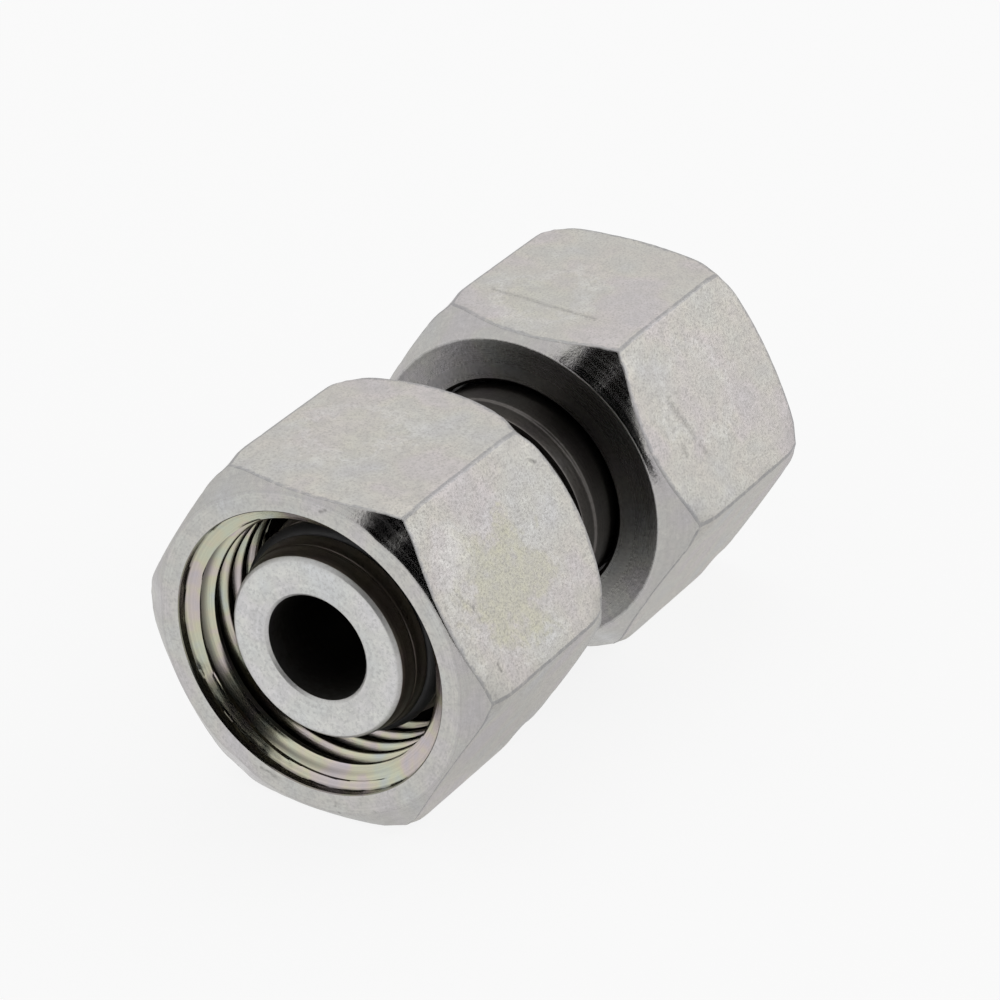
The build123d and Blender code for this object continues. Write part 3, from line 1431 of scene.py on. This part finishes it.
NEAR_MARKS = (
    Scratch((-6.4, -7.4, 9.1), (-6.2, -7.6, 8.9), 0.22, 0.8, 0.9),
    Scratch((-16.8, -9.8, 5.0), (-16.7, -10.3, 4.2), 0.16, 0.5, 0.6),
    Scratch((-17.6, -9.2, 6.0), (-17.3, -9.5, 5.5), 0.2, 0.4, 0.4),
    Scratch((-17.0, -11.7, 1.8), (-16.9, -11.95, 1.3), 0.18, 0.5, 0.6),
)
NEAR_FACE_MARKS = (
    Scratch((-19.7, -1.1, 10.2), (-19.7, -1.5, 10.4), 0.16, 0.6, 0.8),
    Scratch((-19.7, -1.8, -9.9), (-19.7, -1.8, -10.2), 0.14, 0.5, 0.7),
    Scratch((-19.7, -2.1, -10.6), (-19.7, -2.3, -10.9), 0.14, 0.5, 0.7),
    Scratch((-19.7, -4.5, -9.6), (-19.7, -4.8, -9.8), 0.14, 0.5, 0.6),
    Scratch((-19.7, 3.6, -9.3), (-19.7, 2.3, -9.6), 0.18, 0.6, 0.6),
)
FAR_MARKS = (
    Scratch((8.7, 4.6, 11.0), (8.5, -3.0, 11.0), 0.3, 0.6, 0.4),
    Scratch((8.1, -8.7, 7.0), (9.3, -10.8, 3.3), 0.42, 0.3, 0.38),
    Scratch((7.4, -10.2, 4.4), (7.5, -10.4, 3.9), 0.3, 0.4, 0.5),
)
NEAR_PATCHES = (
    Patch((-13.2, -9.9, 4.9), (4.8, 3.6, 4.6)),
    Patch((-16.6, -8.3, 7.8), (1.6, 1.6, 1.8), (0.70, 0.69, 0.66), 0.6),
    Patch((-12.0, 2.0, 11.0), (3.0, 3.0, 2.0), (0.55, 0.54, 0.47), 0.35),
)
FAR_PATCHES = (
    Patch((9.5, 1.0, 11.0), (3.4, 3.0, 2.0), (0.55, 0.54, 0.45), 0.35),
    Patch((11.0, -9.0, 6.4), (3.2, 2.2, 3.0), (0.56, 0.53, 0.52), 0.3),
)

CHAMFER = TurnedSteel(
    "turned_chamfer", (0.54, 0.53, 0.52), 0.15, ring_scale=6.0, ring_depth=0.003, worn=(0.36, 0.35, 0.35)
)
# Painted shade: the nut's relief, seat and rear bore are coloured near black for the shade deep inside the
# nut.
NUT_INSIDE_PAINTED_SHADE = TurnedSteel(
    "nut_inside_painted_shade", (0.08, 0.076, 0.072), 0.35, ring_scale=6.0, ring_depth=0.008, tint=0.2, grain=0.4,
    worn=(0.2, 0.2, 0.2),
)
# Painted shade: the nut's rear face is a darker copy of its front face, for the shade in the gap between the
# nuts.
NUT_REAR_PAINTED_SHADE = TurnedSteel("nut_rear_face_painted_shade", (0.33, 0.325, 0.325), 0.24, ring_scale=5.0, tint=0.4, grain=1.0)
NOSE = TurnedSteel(
    "nose_face", (0.75, 0.75, 0.745), 0.45, ring_scale=3.0, ring_depth=0.002, tint=0.2, grain=1.0
)
# Painted shade: the cone deep in the nut's mouth is a dark copy of the connector's turned steel, for the
# shade inside the nut.
CONE = TurnedSteel(
    "cone_wall_painted_shade", (0.15, 0.128, 0.118), 0.28, ring_depth=0.02, grain=0.4, worn=(0.2, 0.18, 0.17)
)
# Painted shade: the connector's middle is coloured near black for the shade between the nuts and inside them.
MIDDLE = TurnedSteel(
    "connector_middle_painted_shade", (0.085, 0.078, 0.074), 0.3, ring_scale=5.0, ring_depth=0.014, grain=0.8,
    worn=(0.15, 0.14, 0.135),
)
# Painted shade: the connector's bore is coloured near black for the shade down the bore.
BORE = TurnedSteel(
    "bore_wall_painted_shade", (0.06, 0.055, 0.05), 0.55, ring_scale=5.0, ring_depth=0.012, tint=0.2, grain=0.4,
    worn=(0.1, 0.1, 0.1),
)
SPRING = TurnedSteel(
    "spring_steel", (0.42, 0.42, 0.42), 0.3, ring_scale=9.0, ring_depth=0.004, tint=0.0, grain=0.3
)


def nut_face(side: str, marks: tuple[Scratch, ...]) -> TurnedSteel:
    """Return the finish of one nut's front face, with the marks on it."""
    return TurnedSteel(
        f"{side}_nut_face", (0.61, 0.60, 0.59), 0.3, ring_scale=6.0, ring_depth=0.003, grain=0.9,
        worn=(0.42, 0.41, 0.41), marks=marks,
    )


def main() -> None:
    """Set up the studio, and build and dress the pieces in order."""
    bpy.context.scene.view_settings.view_transform = "Standard"
    Camera().build()
    Studio().build()
    effects = Effects()
    shared = [finish.material(effects) for finish in (CutThread(), NUT_INSIDE_PAINTED_SHADE, NUT_REAR_PAINTED_SHADE, CHAMFER)]
    rubber = NitrileRubber().material(effects)
    spring = SPRING.material(effects)
    dressing = (
        (End.LEFT, nut_face("left", NEAR_FACE_MARKS), NEAR_MARKS, NEAR_PATCHES, 0.0),
        (End.RIGHT, nut_face("right", ()), FAR_MARKS, FAR_PATCHES, 21.0),
    )
    for end, face, marks, patches, seed in dressing:
        side = end.name.lower()
        flats = TumbledSteel(f"{side}_nut_flats", seed=seed, marks=marks, patches=patches)
        UnionNut(end).build([flats.material(effects), face.material(effects), *shared])
        SealRing(end).build(rubber)
        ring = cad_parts[f"{side}_retaining_ring"]
        ring.data.materials.clear()
        ring.data.materials.append(spring)
        log.info("%s: packed mesh kept, new finish", ring.name)
    Connector().build([finish.material(effects) for finish in (NOSE, CONE, MIDDLE, BORE)])


if __name__ == "__main__":
    main()
